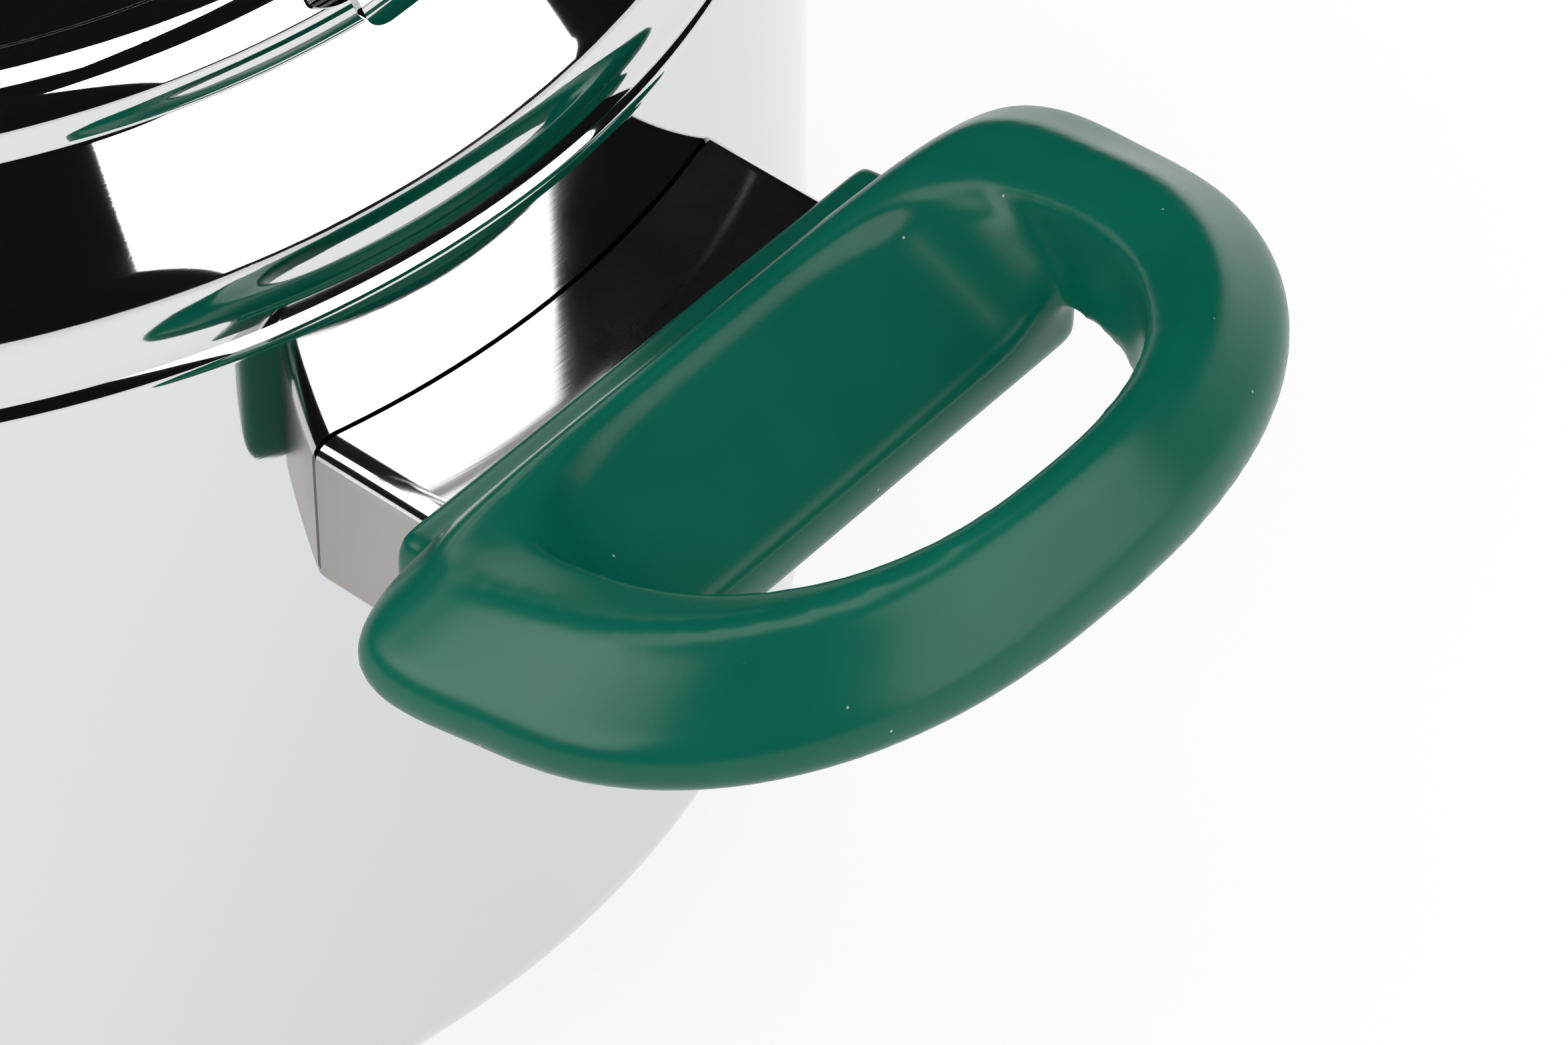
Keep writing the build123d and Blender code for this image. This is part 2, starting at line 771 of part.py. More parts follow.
# Lid handle: rises over the edge of the lid, then runs out above the pot handle; hollow for the lock
with BuildPart() as lid_handle:
    with BuildSketch(side_plane(lid_handle_angle)):
        with BuildLine():
            Polyline(
                (lid_handle_start, plateau_height + lid_handle_crown),
                (lid_handle_start, plateau_height + lid_handle_float),
                (step_radius + step_clearance, plateau_height + lid_handle_float),
                (step_radius + step_clearance, plateau_height + lid_handle_float - step_drop),
                (pot_radius + skirt_clearance, shoulder_start_height + step_clearance),
                (pot_radius + skirt_clearance, lid_handle_bottom),
                (handle_end, lid_handle_bottom),
                (handle_end, lid_handle_bottom + lid_handle_end_height),
            )
            FilletPolyline(
                (handle_end, lid_handle_bottom + lid_handle_end_height),
                (lid_handle_flat_end, handle_top),
                (lid_handle_flat_start, handle_top),
                (lid_handle_crown_end, plateau_height + lid_handle_crown),
                (lid_handle_start, plateau_height + lid_handle_crown),
                radius=lid_handle_bend,
            )
        make_face()
    extrude(amount=2 * handle_half_width, both=True)
    with BuildSketch(top_plane(lid_handle_angle, 0)):
        handle_outline(lid_handle_start, lid_handle_start_half_width)
        fillet(vertices().sort_by(Axis.X)[:2], lid_handle_start_round)
    extrude(amount=2 * plateau_height, mode=Mode.INTERSECT)
    top_faces = lid_handle.faces().filter_by(lambda face: face.normal_at().Z > 0.5)
    fillet(border(top_faces), handle_round)
    with BuildSketch(top_plane(lid_handle_angle, plateau_height)):
        with Locations((lid_bracket_start - pocket_gap, 0)):
            Rectangle(
                lid_bracket_length + 2 * pocket_gap,
                2 * (lid_bracket_half_width + pocket_gap),
                align=(Align.MIN, Align.CENTER),
            )
    extrude(amount=lid_bracket_thickness + pocket_gap, mode=Mode.SUBTRACT)
    with BuildSketch(top_plane(lid_handle_angle, plateau_height)):
        for position in lid_screw_positions:
            with Locations((position, 0)):
                Circle(lid_screw_radius + screw_clearance)
    extrude(amount=lid_screw_length + screw_clearance, mode=Mode.SUBTRACT)
    with BuildSketch(top_plane(lid_handle_angle, lid_handle_bottom)):
        with Locations((passage_start, 0)):
            Rectangle(passage_end - passage_start, 4 * handle_half_width, align=(Align.MIN, Align.CENTER))
    extrude(amount=passage_top - lid_handle_bottom, mode=Mode.SUBTRACT)
    with BuildSketch(cross_plane(lid_handle_angle, passage_end, bolt_height)):
        Circle(bolt_radius + bolt_fit)
    extrude(amount=pocket_front_wall, mode=Mode.SUBTRACT)
    with BuildSketch(top_plane(lid_handle_angle, lid_handle_bottom)):
        with Locations((pocket_start, 0)):
            Rectangle(pocket_length, 2 * pocket_half_width, align=(Align.MIN, Align.CENTER))
    extrude(amount=pocket_top - lid_handle_bottom, mode=Mode.SUBTRACT)
    with BuildSketch(top_plane(lid_handle_angle, lid_handle_bottom)):
        with Locations((cover_start - pocket_gap, 0)):
            Rectangle(
                cover_end - cover_start + 2 * pocket_gap,
                2 * (cover_half_width + pocket_gap),
                align=(Align.MIN, Align.CENTER),
            )
    extrude(amount=cover_thickness, mode=Mode.SUBTRACT)
    with BuildSketch(top_plane(lid_handle_angle, cover_top)):
        with Locations(*cover_screw_places):
            Circle(cover_screw_radius + screw_clearance)
    extrude(amount=cover_screw_length, mode=Mode.SUBTRACT)
    with BuildSketch(top_plane(lid_handle_angle, pocket_top)):
        with Locations((stem_start - bolt_travel - slot_play, 0)):
            Rectangle(
                stem_length + bolt_travel + 2 * slot_play,
                2 * (stem_half_width + slot_play),
                align=(Align.MIN, Align.CENTER),
            )
    extrude(amount=handle_top - pocket_top, mode=Mode.SUBTRACT)
save(lid_handle, "lid_handle")

# Cover that closes the lock pocket from below
with BuildPart() as lid_handle_cover:
    with BuildSketch(top_plane(lid_handle_angle, lid_handle_bottom)):
        with Locations((cover_start, 0)):
            Rectangle(cover_end - cover_start, 2 * cover_half_width, align=(Align.MIN, Align.CENTER))
        with Locations(*cover_screw_places):
            Circle(cover_screw_radius + screw_clearance, mode=Mode.SUBTRACT)
    extrude(amount=cover_thickness)
    with BuildSketch(top_plane(lid_handle_angle, lid_handle_bottom)):
        with Locations(*cover_screw_places):
            Circle(cover_screw_head_radius + screw_clearance)
    extrude(amount=cover_screw_head_height, mode=Mode.SUBTRACT)
save(lid_handle_cover, "lid_handle_cover")

with BuildPart() as cover_screws:
    with BuildSketch(top_plane(lid_handle_angle, lid_handle_bottom)):
        with Locations(*cover_screw_places):
            Circle(cover_screw_head_radius)
    extrude(amount=cover_screw_head_height)
    with BuildSketch(top_plane(lid_handle_angle, lid_handle_bottom + cover_screw_head_height)):
        with Locations(*cover_screw_places):
            Circle(cover_screw_radius)
    extrude(amount=cover_screw_length - cover_screw_head_height)
save(cover_screws, "cover_screws")

# Lock bolt: a round pin on a square carriage
with BuildPart() as lock_bolt:
    with BuildSketch(cross_plane(lid_handle_angle, bolt_tip, bolt_height)):
        Circle(bolt_radius)
    extrude(amount=carriage_start - bolt_tip)
    with BuildSketch(cross_plane(lid_handle_angle, carriage_start, bolt_height)):
        Rectangle(2 * carriage_half_width, 2 * carriage_half_height)
    extrude(amount=carriage_length)
save(lock_bolt, "lock_bolt")

# Spring round the bolt, between the pocket's front wall and the carriage
with BuildPart() as lock_spring:
    with BuildSketch(cross_plane(lid_handle_angle, pocket_start, bolt_height)):
        Circle(bolt_radius + spring_play + lock_spring_wire)
        Circle(bolt_radius + spring_play, mode=Mode.SUBTRACT)
    extrude(amount=carriage_offset)
save(lock_spring, "lock_spring")

# Lock slider: a thumb pad on top of the handle, with a stem down to the carriage
with BuildPart() as lock_slider:
    with BuildSketch(top_plane(lid_handle_angle, handle_top + slider_gap)):
        with Locations((carriage_middle, 0)):
            RectangleRounded(slider_length, 2 * slider_half_width, slider_round * 2)
    extrude(amount=slider_height)
    fillet(lock_slider.edges().group_by(Axis.Z)[-1], slider_round)
    with BuildSketch(top_plane(lid_handle_angle, bolt_height + carriage_half_height)):
        with Locations((carriage_middle, 0)):
            Rectangle(stem_length, 2 * stem_half_width)
    extrude(amount=handle_top + slider_gap - bolt_height - carriage_half_height)
save(lock_slider, "lock_slider")

# Fittings on the lid: each is a flanged bush held by a seal and a nut under the lid
nut_top = panel_underside - fitting_seal_thickness
nut_bottom = nut_top - fitting_nut_thickness
shank_end = nut_bottom - sheet


def ring(position, bottom, height, outer, inner):
    """Flat ring round the axis of a lid fitting."""
    with BuildPart() as piece:
        with BuildSketch(top_plane(lid_handle_angle, bottom)):
            with Locations((position, 0)):
                Circle(outer)
                Circle(inner, mode=Mode.SUBTRACT)
        extrude(amount=height)
    return piece


def hex_nut(position, shank, radius):
    """Six-sided nut that draws a fitting down on the lid."""
    with BuildPart() as piece:
        with BuildSketch(top_plane(lid_handle_angle, nut_bottom)):
            with Locations((position, 0)):
                RegularPolygon(radius, 6)
                Circle(shank + fit_gap, mode=Mode.SUBTRACT)
        extrude(amount=fitting_nut_thickness)
    return piece


def flanged_bush(position, shank, flange, flange_height, tower_height, bore):
    """Bush through the lid: shank below, flange on the panel and an upright tower of the shank's radius."""
    with BuildPart() as piece:
        with BuildSketch(top_plane(lid_handle_angle, shank_end)):
            with Locations((position, 0)):
                Circle(shank)
        extrude(amount=panel_height + flange_height + tower_height - shank_end)
        with BuildSketch(top_plane(lid_handle_angle, panel_height)):
            with Locations((position, 0)):
                Circle(flange)
        extrude(amount=flange_height)
        with BuildSketch(top_plane(lid_handle_angle, shank_end)):
            with Locations((position, 0)):
                Circle(bore)
        extrude(amount=panel_height + flange_height + tower_height - shank_end, mode=Mode.SUBTRACT)
    return piece


def chambered_bush(position, bush, top, chamber, depth):
    """Widen the upper end of a bush into a chamber for its plunger and spring."""
    with BuildPart() as piece:
        add(bush.part)
        with BuildSketch(top_plane(lid_handle_angle, top)):
            with Locations((position, 0)):
                Circle(chamber)
        extrude(amount=-depth, mode=Mode.SUBTRACT)
    return piece


def plunger(position, seat, head, head_height, rod, rod_length):
    """Plunger: a disc on the seat of its chamber with a rod up the middle."""
    with BuildPart() as piece:
        with BuildSketch(top_plane(lid_handle_angle, seat)):
            with Locations((position, 0)):
                Circle(head)
        extrude(amount=head_height)
        with BuildSketch(top_plane(lid_handle_angle, seat + head_height)):
            with Locations((position, 0)):
                Circle(rod)
        extrude(amount=rod_length)
    return piece


for fitting, position, shank, flange in (
    ("valve", valve_position, valve_shank_radius, valve_flange_radius),
    ("vent", vent_position, vent_shank_radius, vent_flange_radius),
    ("safety", safety_position, safety_shank_radius, safety_flange_radius),
):
    seal = ring(position, nut_top, fitting_seal_thickness, flange, shank + fit_gap)
    save(seal, f"{fitting}_seal")
    nut = hex_nut(position, shank, flange)
    save(nut, f"{fitting}_nut")

# Pressure valve: bush, spring-loaded plunger whose rod shows the pressure, and a cap that holds the spring
valve_flange_top = panel_height + valve_flange_height
valve_top = valve_flange_top + valve_tower_height
valve_seat = valve_top - valve_chamber_depth
valve_bush = flanged_bush(
    valve_position,
    valve_shank_radius,
    valve_flange_radius,
    valve_flange_height,
    valve_tower_height,
    valve_bore_radius,
)
valve_body = chambered_bush(valve_position, valve_bush, valve_top, valve_chamber_radius, valve_chamber_depth)
save(valve_body, "valve_body")

valve_plunger = plunger(
    valve_position, valve_seat, valve_head_radius, valve_head_height, valve_rod_radius, valve_rod_length
)
save(valve_plunger, "valve_plunger")

valve_spring = ring(
    valve_position,
    valve_seat + valve_head_height,
    valve_chamber_depth - valve_head_height,
    valve_spring_radius,
    valve_spring_radius - valve_spring_wire,
)
save(valve_spring, "valve_spring")

valve_cap = ring(
    valve_position, valve_top, valve_cap_height, valve_shank_radius, valve_rod_radius + rod_play
)
save(valve_cap, "valve_cap")

# Pressure dial: a fluted knob that turns on the flange of the valve, with a groove as its pointer
dial_top = valve_flange_top + dial_height
with BuildPart() as valve_dial:
    with BuildSketch(top_plane(lid_handle_angle, valve_flange_top)):
        with Locations((valve_position, 0)):
            Circle(dial_radius)
    extrude(amount=dial_height)
    fillet(valve_dial.edges().group_by(Axis.Z)[-1], dial_round)
    with BuildSketch(top_plane(lid_handle_angle, valve_flange_top)):
        with Locations((valve_position, 0)):
            with PolarLocations(dial_radius + dial_flute_radius / 2, dial_flutes):
                Circle(dial_flute_radius)
    extrude(amount=dial_height, mode=Mode.SUBTRACT)
    with BuildSketch(top_plane(lid_handle_angle, valve_flange_top)):
        with Locations((valve_position, 0)):
            Circle(valve_shank_radius + dial_play)
    extrude(amount=dial_height - dial_roof, mode=Mode.SUBTRACT)
    with BuildSketch(top_plane(lid_handle_angle, dial_top)):
        with Locations((valve_position, 0)):
            Circle(valve_rod_radius + rod_play)
    extrude(amount=-dial_roof, mode=Mode.SUBTRACT)
    with BuildSketch(top_plane(lid_handle_angle, dial_top)):
        with Locations((valve_position + dial_radius / 2, 0)):
            Rectangle(pointer_length, pointer_width)
    extrude(amount=-pointer_depth, mode=Mode.SUBTRACT)
save(valve_dial, "valve_dial")

# Vent: a bush with a loose pin that the pressure lifts until its lower head shuts the bore
vent_flange_top = panel_height + vent_flange_height
vent_body = flanged_bush(
    vent_position,
    vent_shank_radius,
    vent_flange_radius,
    vent_flange_height,
    vent_rim_height,
    vent_bore_radius,
)
save(vent_body, "vent_body")

vent_head_top = shank_end - vent_lift - vent_head_gap
with BuildPart() as vent_pin:
    with BuildSketch(top_plane(lid_handle_angle, vent_head_top - vent_head_height)):
        with Locations((vent_position, 0)):
            Circle(vent_head_radius)
    extrude(amount=vent_head_height)
    with BuildSketch(top_plane(lid_handle_angle, vent_head_top)):
        with Locations((vent_position, 0)):
            Circle(vent_pin_radius)
    extrude(amount=vent_flange_top + vent_rim_height - vent_head_top)
    with BuildSketch(top_plane(lid_handle_angle, vent_flange_top + vent_rim_height)):
        with Locations((vent_position, 0)):
            Circle(vent_head_radius)
    extrude(amount=vent_pin_show)
save(vent_pin, "vent_pin")

# Safety valve: built like the pressure valve, smaller and set to open later
safety_top = panel_height + safety_flange_height + safety_tower_height
safety_seat = safety_top - safety_chamber_depth
safety_bush = flanged_bush(
    safety_position,
    safety_shank_radius,
    safety_flange_radius,
    safety_flange_height,
    safety_tower_height,
    safety_bore_radius,
)
safety_body = chambered_bush(
    safety_position, safety_bush, safety_top, safety_chamber_radius, safety_chamber_depth
)
save(safety_body, "safety_body")

safety_poppet = plunger(
    safety_position, safety_seat, safety_head_radius, safety_head_height, safety_rod_radius, safety_rod_length
)
save(safety_poppet, "safety_poppet")

safety_spring = ring(
    safety_position,
    safety_seat + safety_head_height,
    safety_chamber_depth - safety_head_height,
    safety_spring_radius,
    safety_spring_radius - safety_spring_wire,
)
save(safety_spring, "safety_spring")

safety_cap = ring(
    safety_position, safety_top, safety_cap_height, safety_shank_radius, safety_rod_radius + rod_play
)
save(safety_cap, "safety_cap")
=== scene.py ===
import math

import bmesh
import bpy
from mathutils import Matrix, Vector


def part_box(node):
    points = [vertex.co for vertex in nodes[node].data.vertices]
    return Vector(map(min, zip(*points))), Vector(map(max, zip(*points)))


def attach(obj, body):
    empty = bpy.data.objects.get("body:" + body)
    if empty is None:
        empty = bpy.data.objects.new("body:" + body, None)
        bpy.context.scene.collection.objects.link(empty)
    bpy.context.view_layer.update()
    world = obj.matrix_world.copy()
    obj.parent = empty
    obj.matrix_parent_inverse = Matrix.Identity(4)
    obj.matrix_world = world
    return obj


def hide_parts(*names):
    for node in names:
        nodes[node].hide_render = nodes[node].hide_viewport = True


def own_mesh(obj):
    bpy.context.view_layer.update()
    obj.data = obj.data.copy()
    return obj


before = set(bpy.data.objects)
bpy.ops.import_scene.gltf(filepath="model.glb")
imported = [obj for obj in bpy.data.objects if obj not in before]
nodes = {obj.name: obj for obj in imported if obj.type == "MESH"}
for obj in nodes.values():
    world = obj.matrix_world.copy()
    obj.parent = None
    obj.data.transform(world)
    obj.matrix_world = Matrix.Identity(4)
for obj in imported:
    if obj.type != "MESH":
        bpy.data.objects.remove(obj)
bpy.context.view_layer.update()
scene = bpy.context.scene
scene.view_settings.view_transform = "Standard"


# Base capsule: a shallow dish of polished stainless steel pressed on under the pot, with the aluminium
# heat-spreading core closed in between. The dish is spun from one disc, so its outline is turned round
# the pot axis and given the thickness of its sheet.
def new_finish(name):
    """Start a material and give it back with its nodes, its links and its shader."""
    finish = bpy.data.materials.new(name)
    finish.use_nodes = True
    return finish, finish.node_tree.nodes, finish.node_tree.links, finish.node_tree.nodes["Principled BSDF"]


def map_value(tools, links, value, low, high, to_low, to_high):
    """Stretch a grey value from one span to another."""
    span = tools.new("ShaderNodeMapRange")
    span.inputs["From Min"].default_value = low
    span.inputs["From Max"].default_value = high
    span.inputs["To Min"].default_value = to_low
    span.inputs["To Max"].default_value = to_high
    links.new(value, span.inputs["Value"])
    return span.outputs["Result"]


def noise(tools, links, place, scale, detail):
    """Cloudy grey pattern on the given coordinates."""
    cloud = tools.new("ShaderNodeTexNoise")
    cloud.inputs["Scale"].default_value = scale
    cloud.inputs["Detail"].default_value = detail
    links.new(place, cloud.inputs["Vector"])
    return cloud.outputs["Fac"]


def stretch(tools, links, place, factors):
    """Scale coordinates by a different factor along each axis."""
    scaled = tools.new("ShaderNodeVectorMath")
    scaled.operation = "MULTIPLY"
    scaled.inputs[1].default_value = factors
    links.new(place, scaled.inputs[0])
    return scaled.outputs[0]


def polar_place(tools, links, place):
    """Turn object coordinates into angle round the pot axis, height and distance from the axis."""
    split = tools.new("ShaderNodeSeparateXYZ")
    links.new(place, split.inputs[0])
    angle = tools.new("ShaderNodeMath")
    angle.operation = "ARCTAN2"
    links.new(split.outputs["Y"], angle.inputs[0])
    links.new(split.outputs["X"], angle.inputs[1])
    level = stretch(tools, links, place, (1, 1, 0))
    reach = tools.new("ShaderNodeVectorMath")
    reach.operation = "LENGTH"
    links.new(level, reach.inputs[0])
    joined = tools.new("ShaderNodeCombineXYZ")
    links.new(angle.outputs[0], joined.inputs["X"])
    links.new(split.outputs["Z"], joined.inputs["Y"])
    links.new(reach.outputs["Value"], joined.inputs["Z"])
    return joined.outputs[0]


def polished_steel(name, colour, bright, dull, relief):
    """Polished steel: fine lines round the pot axis, light hazing and stray hairline scratches."""
    finish, tools, links, shader = new_finish(name)
    shader.inputs["Base Color"].default_value = (*colour, 1)
    shader.inputs["Metallic"].default_value = 1
    place = tools.new("ShaderNodeTexCoord").outputs["Object"]
    around = polar_place(tools, links, place)
    lines = noise(tools, links, stretch(tools, links, around, (6, 2400, 2400)), scale=1, detail=3)
    hairs = noise(tools, links, stretch(tools, links, place, (1500, 240, 420)), scale=1, detail=2)
    haze = noise(tools, links, place, scale=60, detail=5)
    hair_depth = map_value(tools, links, hairs, 0.66, 0.76, 0, 1)
    depth = tools.new("ShaderNodeMath")
    depth.operation = "MULTIPLY_ADD"
    depth.inputs[1].default_value = -0.6
    links.new(hair_depth, depth.inputs[0])
    links.new(lines, depth.inputs[2])
    bump = tools.new("ShaderNodeBump")
    bump.inputs["Strength"].default_value = relief
    bump.inputs["Distance"].default_value = 0.0001
    links.new(depth.outputs[0], bump.inputs["Height"])
    links.new(bump.outputs["Normal"], shader.inputs["Normal"])
    links.new(map_value(tools, links, haze, 0.35, 0.75, bright, dull), shader.inputs["Roughness"])
    return finish


def turn_outline(name, corners, rounds, arc_points):
    """Turn an outline of (radius, height) corners, each rounded, round the pot axis into a skin."""
    bpy.ops.object.select_all(action="DESELECT")
    bpy.ops.mesh.primitive_plane_add(size=0.01)
    skin = bpy.context.object
    skin.name = name
    bpy.ops.object.mode_set(mode="EDIT")
    bpy.ops.mesh.select_mode(type="VERT")
    bpy.ops.mesh.merge(type="CENTER")
    bpy.ops.transform.translate(value=(corners[0][0], 0, corners[0][1]))
    for start, end in zip(corners, corners[1:]):
        run = (end[0] - start[0], 0, end[1] - start[1])
        bpy.ops.mesh.extrude_region_move(TRANSFORM_OT_translate={"value": run})
    for before, corner, after, radius in zip(corners, corners[1:], corners[2:], rounds):
        turn = (Vector(corner) - Vector(before)).angle(Vector(after) - Vector(corner))
        bpy.ops.mesh.select_all(action="DESELECT")
        outline = bmesh.from_edit_mesh(skin.data)
        for point in outline.verts:
            point.select = (Vector((point.co.x, point.co.z)) - Vector(corner)).length < 1e-6
        outline.select_flush_mode()
        bpy.ops.mesh.bevel(
            offset=radius * math.tan(turn / 2),
            segments=arc_points,
            affect="VERTICES",
            clamp_overlap=False,
            profile=0.5,
        )
    bpy.ops.mesh.select_all(action="SELECT")
    bpy.ops.mesh.spin(steps=256, angle=2 * math.pi, center=(0, 0, 0), axis=(0, 0, 1))
    bpy.ops.mesh.select_all(action="SELECT")
    bpy.ops.mesh.remove_doubles(threshold=1e-6)
    bpy.ops.mesh.normals_make_consistent(inside=False)
    bpy.ops.object.mode_set(mode="OBJECT")
    return skin


def give_sheet(skin, thickness):
    """Thicken a skin inwards to the sheet that it is pressed from, and shade it smooth."""
    bpy.ops.object.modifier_add(type="SOLIDIFY")
    skin.modifiers[-1].thickness = thickness
    skin.modifiers[-1].offset = -1
    bpy.ops.object.modifier_apply(modifier=skin.modifiers[-1].name)
    smooth(skin, 35)


def smooth(piece, angle):
    """Shade a piece smooth up to an angle, with its large faces kept flat."""
    bpy.ops.object.shade_smooth_by_angle(angle=math.radians(angle))
    bpy.ops.object.modifier_add(type="WEIGHTED_NORMAL")
    piece.modifiers[-1].keep_sharp = True
    bpy.ops.object.modifier_apply(modifier=piece.modifiers[-1].name)


mirror_steel = polished_steel("mirror_steel", (0.7, 0.702, 0.712), bright=0.02, dull=0.055, relief=0.012)
capsule_radius, capsule_height = 0.1064, 0.0046
capsule_round, capsule_sheet = 0.0015, 0.0008
base_dish = turn_outline(
    "base_dish",
    [(0, 0), (capsule_radius, 0), (capsule_radius, capsule_height)],
    [capsule_round],
    arc_points=8,
)
give_sheet(base_dish, capsule_sheet)
base_dish.data.materials.append(mirror_steel)
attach(base_dish, "pot")
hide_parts("base_cap")

core_metal, core_tools, core_links, core_shader = new_finish("core_metal")
core_place = core_tools.new("ShaderNodeTexCoord").outputs["Object"]
core_shader.inputs["Base Color"].default_value = (0.62, 0.63, 0.64, 1)
core_shader.inputs["Metallic"].default_value = 1
core_grain = noise(core_tools, core_links, core_place, scale=900, detail=4)
core_dullness = map_value(core_tools, core_links, core_grain, 0.3, 0.7, to_low=0.38, to_high=0.55)
core_links.new(core_dullness, core_shader.inputs["Roughness"])


def dress(node, finish):
    """Give a CAD node its finish."""
    nodes[node].data.materials.clear()
    nodes[node].data.materials.append(finish)


dress("base_core", core_metal)


# Pot: one deep-drawn sheet of stainless steel, mirror polished, drawn in under the lid to a ledge and a
# short neck. Six lugs stand out from the rim of the neck for the bayonet of the lid.
def bayonet_lugs(name, inner, outer, low, high, first):
    """Ring of lugs: one swept by part of a turn, then repeated round the pot axis."""
    lug_count, lug_angle, lug_edge = 6, 26, 0.0003
    bpy.ops.object.select_all(action="DESELECT")
    middle = (inner + outer) / 2
    start = math.radians(first - lug_angle / 2)
    bpy.ops.mesh.primitive_plane_add(
        size=1,
        location=(middle * math.cos(start), middle * math.sin(start), (low + high) / 2),
        rotation=(math.pi / 2, 0, start),
    )
    lugs = bpy.context.object
    lugs.name = name
    lugs.scale = (outer - inner, high - low, 1)
    bpy.ops.object.transform_apply(location=True, rotation=True, scale=True)
    bpy.ops.object.mode_set(mode="EDIT")
    bpy.ops.mesh.select_all(action="SELECT")
    bpy.ops.mesh.spin(steps=12, angle=math.radians(lug_angle), center=(0, 0, 0), axis=(0, 0, 1))
    bpy.ops.mesh.select_all(action="SELECT")
    copies = lug_count - 1
    spread = math.radians(360 * copies / lug_count)
    bpy.ops.mesh.spin(steps=copies, dupli=True, angle=spread, center=(0, 0, 0), axis=(0, 0, 1))
    bpy.ops.mesh.select_all(action="SELECT")
    bpy.ops.mesh.remove_doubles(threshold=1e-6)
    bpy.ops.mesh.normals_make_consistent(inside=False)
    bpy.ops.object.mode_set(mode="OBJECT")
    bpy.ops.object.modifier_add(type="BEVEL")
    lugs.modifiers[-1].width = lug_edge
    lugs.modifiers[-1].segments = 2
    bpy.ops.object.modifier_apply(modifier=lugs.modifiers[-1].name)
    smooth(lugs, 35)
    return lugs


def join(piece, *others):
    """Weld other objects to a piece."""
    bpy.ops.object.select_all(action="DESELECT")
    for other in others:
        other.select_set(True)
    piece.select_set(True)
    bpy.context.view_layer.objects.active = piece
    bpy.ops.object.join()


pot_radius, neck_radius, pot_sheet = 0.112, 0.1045, 0.001
ledge_height, rim_height = 0.1252, 0.13
base_round, ledge_round, neck_round = 0.0065, 0.0032, 0.001
pot_lug_root, pot_lug_tip, pot_lug_bottom = 0.1042, 0.109, 0.1279
pot = turn_outline(
    "pot",
    [
        (0, capsule_height),
        (pot_radius, capsule_height),
        (pot_radius, ledge_height),
        (neck_radius, ledge_height),
        (neck_radius, rim_height),
    ],
    [base_round, ledge_round, neck_round],
    arc_points=14,
)
give_sheet(pot, pot_sheet)
join(pot, bayonet_lugs("pot_lugs", pot_lug_root, pot_lug_tip, pot_lug_bottom, rim_height, first=0))
pot.data.materials.append(mirror_steel)
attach(pot, "pot")
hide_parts("pot_body")


# Brackets of the two handles on the pot: steel boxes pressed from sheet, open towards the pot, with rounded
# long edges and brushed flanks, fitted to the wall and spot-welded there. The flanks are also given a darker
# steel colour as painted shade, for the shadowed table that they reflect. The screws sit inside, heads on
# the end plate.
def pressed_bracket(name, node, wall_radius):
    """Box on the wall at +X in the space of a CAD bracket, its open end cut to the round of the pot."""
    edge_round, bracket_sheet, cuts = 0.0028, 0.0015, 9
    low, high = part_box(node)
    half_width = (high[1] - low[1]) / 2
    reach = max(abs(low[0]), abs(high[0]))
    start = 0.09
    bpy.ops.object.select_all(action="DESELECT")
    bpy.ops.mesh.primitive_cube_add(
        size=1,
        location=((start + reach) / 2, 0, (low[2] + high[2]) / 2),
        scale=(reach - start, 2 * half_width, high[2] - low[2]),
    )
    box = bpy.context.object
    box.name = name
    bpy.ops.object.transform_apply(location=True, rotation=True, scale=True)
    bpy.ops.object.mode_set(mode="EDIT")
    bpy.ops.mesh.select_mode(type="EDGE")
    bpy.ops.mesh.select_all(action="DESELECT")
    shape = bmesh.from_edit_mesh(box.data)
    for edge in shape.edges:
        run = edge.verts[1].co - edge.verts[0].co
        edge.select = abs(run.x) > abs(run.y) + abs(run.z)
    bpy.ops.mesh.bevel(offset=edge_round, segments=10, affect="EDGES", profile=0.5)
    bpy.ops.mesh.select_mode(type="FACE")
    bpy.ops.mesh.select_all(action="DESELECT")
    shape = bmesh.from_edit_mesh(box.data)
    for face in shape.faces:
        face.select = face.normal.x < -0.9
    bpy.ops.mesh.delete(type="FACE")
    for cut in range(-cuts, cuts + 1):
        bpy.ops.mesh.select_all(action="SELECT")
        bpy.ops.mesh.bisect(plane_co=(0, cut * half_width / (cuts + 2), 0), plane_no=(0, 1, 0))
    shape = bmesh.from_edit_mesh(box.data)
    for point in shape.verts:
        if point.co.x < start + 1e-5:
            point.co.x = math.sqrt(wall_radius**2 - point.co.y**2)
    bmesh.update_edit_mesh(box.data)
    bpy.ops.mesh.select_all(action="SELECT")
    if low[0] < 0:
        bpy.ops.transform.resize(value=(-1, -1, 1), center_override=(0, 0, 0))
    bpy.ops.mesh.normals_make_consistent(inside=False)
    bpy.ops.object.mode_set(mode="OBJECT")
    give_sheet(box, bracket_sheet)
    return box


satin_steel = polished_steel("satin_steel", (0.72, 0.715, 0.71), bright=0.07, dull=0.12, relief=0.02)
# Flank steel: the higher roughness is the brushed finish; the darker, warmer base colour is painted shade, a
# reflected shadow painted into the steel.
brushed_steel_painted_shade = polished_steel("brushed_steel_painted_shade", (0.46, 0.435, 0.42), bright=0.3, dull=0.42, relief=0.05)
weld_gap = 0.0003
flank_normal = 0.97
for name, node in (("front_bracket", "helper_bracket"), ("rear_bracket", "pot_bracket")):
    bracket = pressed_bracket(name, node, pot_radius + weld_gap)
    bracket.data.materials.append(satin_steel)
    bracket.data.materials.append(brushed_steel_painted_shade)
    # The flat flanks facing along Y take the darker steel: painted shade.
    for face in bracket.data.polygons:
        face.material_index = int(abs(face.normal.y) > flank_normal)
    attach(bracket, "pot")
    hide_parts(node)


